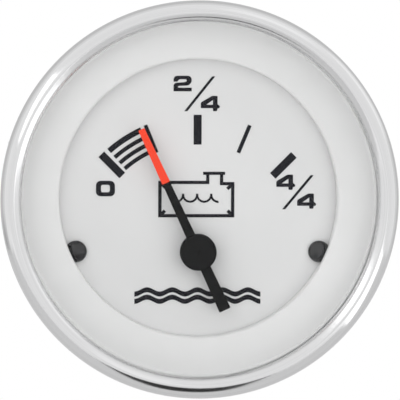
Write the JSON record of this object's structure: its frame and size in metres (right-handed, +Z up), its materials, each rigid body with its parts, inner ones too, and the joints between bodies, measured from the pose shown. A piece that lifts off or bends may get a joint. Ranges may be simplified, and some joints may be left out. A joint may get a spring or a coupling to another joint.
{
  "type": "tank level gauge",
  "caption": "Round panel-mounted tank level gauge with a steel bezel, white dial, red-tipped pointer, rear terminals, clamp strap and push-in lamp.",
  "frame": {"origin": "on the gauge's axis, in the plane of the panel's front face, which is the back face of the panel gasket", "axes": "+Y along the gauge's axis from the dial to the terminals, +X to the right as seen from the front, +Z up"},
  "size_m": [0.06, 0.0568, 0.06],
  "materials": {
    "polished_steel": "polished",
    "clear_glass": "polished",
    "rubber": "matt",
    "white_moulding": "satin",
    "dial_white": "matt",
    "dial_ink": "matt",
    "black_gloss": "gloss",
    "pointer_black": "satin",
    "pointer_red": "satin paint",
    "shaft_steel": "ground",
    "ferrite": "sintered",
    "bobbin_nylon": "moulded",
    "enamelled_copper": "wound wire",
    "zinc_steel": "zinc plated",
    "tinned_wire": "tinned",
    "board_laminate": "laminate",
    "resistor_body": "dipped",
    "case_black": "fine spark texture",
    "brass": "turned",
    "nickel_brass": "nickel plated",
    "holder_plastic": "moulded",
    "lamp_glass": "polished"
  },
  "bodies": {
    "gauge": {"bezel": "polished_steel", "lens": "clear_glass", "lens_gasket": "rubber", "trim_ring": "white_moulding", "dial_plate": "dial_white", "dial_scale": "dial_ink", "dial_numerals": "dial_ink", "tank_symbol": "dial_ink", "wave_row": "dial_ink", "dial_rivet_left": "black_gloss", "dial_rivet_right": "black_gloss", "light_box": "white_moulding", "bobbin_front": "bobbin_nylon", "bobbin_rear": "bobbin_nylon", "coil_inner": "enamelled_copper", "coil_outer": "enamelled_copper", "shield_can": "zinc_steel", "movement_screw_left": "zinc_steel", "movement_screw_right": "zinc_steel", "movement_pins": "tinned_wire", "circuit_board": "board_laminate", "ballast_resistor": "resistor_body", "case": "case_black", "panel_gasket": "rubber", "power_stud": "brass", "power_retaining_nut": "brass", "power_washer": "zinc_steel", "power_nut": "brass", "sender_stud": "brass", "sender_retaining_nut": "brass", "sender_washer": "zinc_steel", "sender_nut": "brass", "ground_stud": "brass", "ground_retaining_nut": "brass", "ground_washer": "zinc_steel", "ground_nut": "brass", "clamp_stud_left": "zinc_steel", "clamp_stud_right": "zinc_steel"},
    "pointer_set": {"pointer": "pointer_black", "pointer_paint": "pointer_red", "pointer_shaft": "shaft_steel", "rotor_magnet": "ferrite"},
    "clamp": {"clamp_bracket": "zinc_steel", "clamp_washer_left": "zinc_steel", "clamp_washer_right": "zinc_steel"},
    "left_thumb_nut": {"thumb_nut_left": "nickel_brass"},
    "right_thumb_nut": {"thumb_nut_right": "nickel_brass"},
    "lamp": {"lamp_holder": "holder_plastic", "lamp_bulb": "lamp_glass", "lamp_contact_left": "brass", "lamp_contact_right": "brass"}
  },
  "joints": [
    {"name": "pointer_turn", "type": "hinge", "parent": "gauge", "child": "pointer_set", "pos_m": [0, -0.0034, -0.0082], "axis": [0, 1, 0], "range_deg": [-21.9, 71.1]},
    {"name": "clamp_slide", "type": "slide", "parent": "gauge", "child": "clamp", "axis": [0, 1, 0], "range_m": [-0.0045, 0.045]},
    {"name": "thumb_nut_left_turn", "type": "hinge", "parent": "clamp", "child": "left_thumb_nut", "pos_m": [-0.017, 0.0414, 0], "axis": [0, 1, 0], "continuous": true},
    {"name": "thumb_nut_right_turn", "type": "hinge", "parent": "clamp", "child": "right_thumb_nut", "pos_m": [0.017, 0.0414, 0], "axis": [0, 1, 0], "continuous": true},
    {"name": "lamp_pull", "type": "slide", "parent": "gauge", "child": "lamp", "axis": [0, 1, 0], "range_m": [0, 0.032]}
  ]
}
